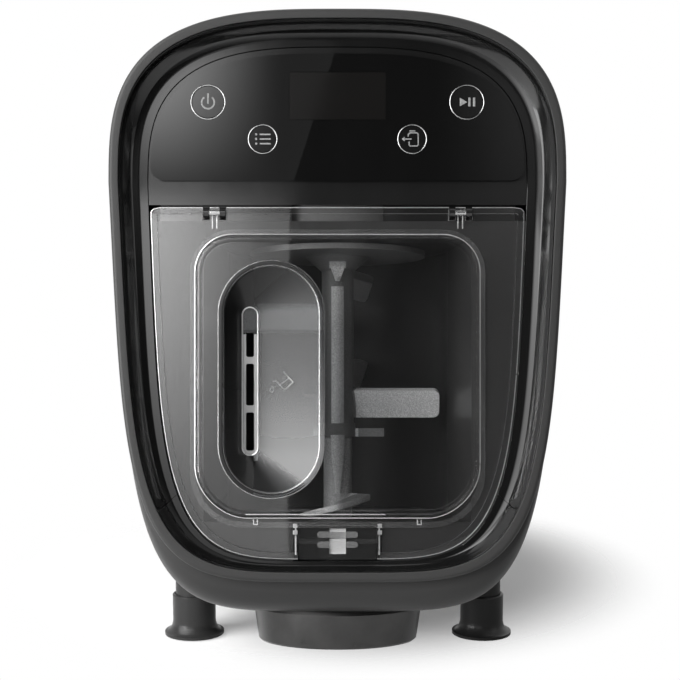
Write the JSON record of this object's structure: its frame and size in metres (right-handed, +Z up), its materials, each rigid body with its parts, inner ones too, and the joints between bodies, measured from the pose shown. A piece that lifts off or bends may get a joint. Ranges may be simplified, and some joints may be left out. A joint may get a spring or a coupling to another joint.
{
  "type": "electric pasta maker",
  "caption": "Countertop electric pasta maker with a hinged clear lid, kneading paddle and auger, geared motor and twist-off extrusion outlet on four legs.",
  "frame": {"origin": "centre of the bounding box's base, on the surface the machine stands on", "axes": "+X to the machine's right as its face is seen, +Y from the face to the back, +Z up"},
  "size_m": [0.2344, 0.3974, 0.3721],
  "materials": {
    "housing_matte": "matt",
    "bezel_gloss": "high gloss",
    "face_dark": "satin",
    "panel_gloss": "high gloss",
    "display_glass": "gloss",
    "display_block": "matt",
    "circuit_board": "satin",
    "bright_trim": "polished",
    "button_gloss": "gloss",
    "clear_lid": "clear",
    "clear_funnel": "frosted",
    "latch_smoke": "clear",
    "chamber_dark": "satin",
    "seal_rubber": "matt",
    "mixer_grey": "speckled satin",
    "outlet_metal": "dark brushed",
    "die_plastic": "satin",
    "barrel_plastic": "satin",
    "steel": "brushed",
    "gear_plastic": "satin",
    "pinion_brass": "machined",
    "gear_case_plastic": "matt",
    "motor_steel": "plated",
    "rotor_steel": "laminated",
    "fan_plastic": "satin",
    "leg_plastic": "satin",
    "foot_plastic": "satin",
    "foot_rubber": "matt",
    "gland_rubber": "matt"
  },
  "bodies": {
    "main_unit": {"front_housing": "housing_matte", "upper_bezel": "bezel_gloss", "lower_bezel": "bezel_gloss", "face_plate": "face_dark", "control_panel": "panel_gloss", "display_window": "display_glass", "display_module": "display_block", "button_board": "circuit_board", "button_rings": "bright_trim", "mixing_chamber": "chamber_dark", "drive_seal": "seal_rubber", "extrusion_tube": "barrel_plastic", "tube_seal": "seal_rubber", "shaping_disc": "die_plastic", "latch_catch": "steel", "hinge_pins": "steel", "gear_axles": "steel", "shaft_bearings": "steel", "gear_case": "gear_case_plastic", "gear_case_cover": "gear_case_plastic", "gear_case_screws": "steel", "motor_can": "motor_steel", "motor_bearings": "steel", "motor_mount": "motor_steel", "main_board": "circuit_board", "rear_housing": "housing_matte", "rear_cover": "housing_matte", "rear_cover_screws": "steel", "bottom_cover": "housing_matte", "bottom_cover_screws": "steel", "cord_gland": "gland_rubber", "leg_sockets": "leg_plastic", "leg_posts": "leg_plastic", "foot_sleeves": "foot_plastic", "foot_pads": "foot_rubber"},
    "lid": {"lid_shell": "clear_lid", "water_funnel": "clear_funnel", "lid_seal": "seal_rubber"},
    "latch": {"lid_latch": "latch_smoke"},
    "mixer": {"drive_shaft": "steel", "drive_gear": "gear_plastic", "mixing_paddle": "mixer_grey", "auger": "mixer_grey"},
    "slow_gear_body": {"slow_gear": "gear_plastic"},
    "quick_gear_body": {"quick_gear": "gear_plastic"},
    "rotor": {"motor_rotor": "rotor_steel", "motor_pinion": "pinion_brass", "cooling_fan": "fan_plastic"},
    "outlet_ring": {"locking_ring": "outlet_metal"},
    "power_button_body": {"power_button": "button_gloss"},
    "play_pause_button_body": {"play_pause_button": "button_gloss"},
    "menu_button_body": {"menu_button": "button_gloss"},
    "extrude_button_body": {"extrude_button": "button_gloss"}
  },
  "joints": [
    {"name": "lid_hinge", "type": "hinge", "parent": "main_unit", "child": "lid", "pos_m": [0, -0.15707, 0.26866], "axis": [-1, 0, 0], "range_deg": [0, 95]},
    {"name": "latch_press", "type": "hinge", "parent": "lid", "child": "latch", "pos_m": [0, -0.18122, 0.1022], "axis": [1, 0, 0], "range_deg": [0, 10], "stiffness_Nm_per_rad": 0.3, "springref_deg": -2.86},
    {"name": "mixer_spin", "type": "hinge", "parent": "main_unit", "child": "mixer", "pos_m": [0, -0.11124, 0.16002], "axis": [0, 0.1392, 0.9903], "continuous": true},
    {"name": "slow_gear_spin", "type": "hinge", "parent": "main_unit", "child": "slow_gear_body", "pos_m": [0, -0.02533, 0.25398], "axis": [0, 0.1392, 0.9903], "continuous": true},
    {"name": "quick_gear_spin", "type": "hinge", "parent": "main_unit", "child": "quick_gear_body", "pos_m": [0, 0.02508, 0.25699], "axis": [0, 0.1392, 0.9903], "continuous": true},
    {"name": "motor_spin", "type": "hinge", "parent": "main_unit", "child": "rotor", "pos_m": [0, 0.06, 0.1713], "axis": [0, 0.1392, 0.9903], "continuous": true},
    {"name": "outlet_ring_twist", "type": "hinge", "parent": "main_unit", "child": "outlet_ring", "pos_m": [0, -0.12794, 0.04119], "axis": [0, 0.1392, 0.9903], "range_deg": [0, 40]},
    {"name": "power_press", "type": "slide", "parent": "main_unit", "child": "power_button_body", "axis": [0, 0.9903, -0.1392], "range_m": [0, 0.0008], "stiffness_N_per_m": 400, "springref_m": -0.0006},
    {"name": "play_pause_press", "type": "slide", "parent": "main_unit", "child": "play_pause_button_body", "axis": [0, 0.9903, -0.1392], "range_m": [0, 0.0008], "stiffness_N_per_m": 400, "springref_m": -0.0006},
    {"name": "menu_press", "type": "slide", "parent": "main_unit", "child": "menu_button_body", "axis": [0, 0.9903, -0.1392], "range_m": [0, 0.0008], "stiffness_N_per_m": 400, "springref_m": -0.0006},
    {"name": "extrude_press", "type": "slide", "parent": "main_unit", "child": "extrude_button_body", "axis": [0, 0.9903, -0.1392], "range_m": [0, 0.0008], "stiffness_N_per_m": 400, "springref_m": -0.0006}
  ],
  "couplings": [
    {"joint": "slow_gear_spin", "follows": "mixer_spin", "ratio": -2},
    {"joint": "quick_gear_spin", "follows": "mixer_spin", "ratio": 4},
    {"joint": "motor_spin", "follows": "mixer_spin", "ratio": -9.7778}
  ]
}
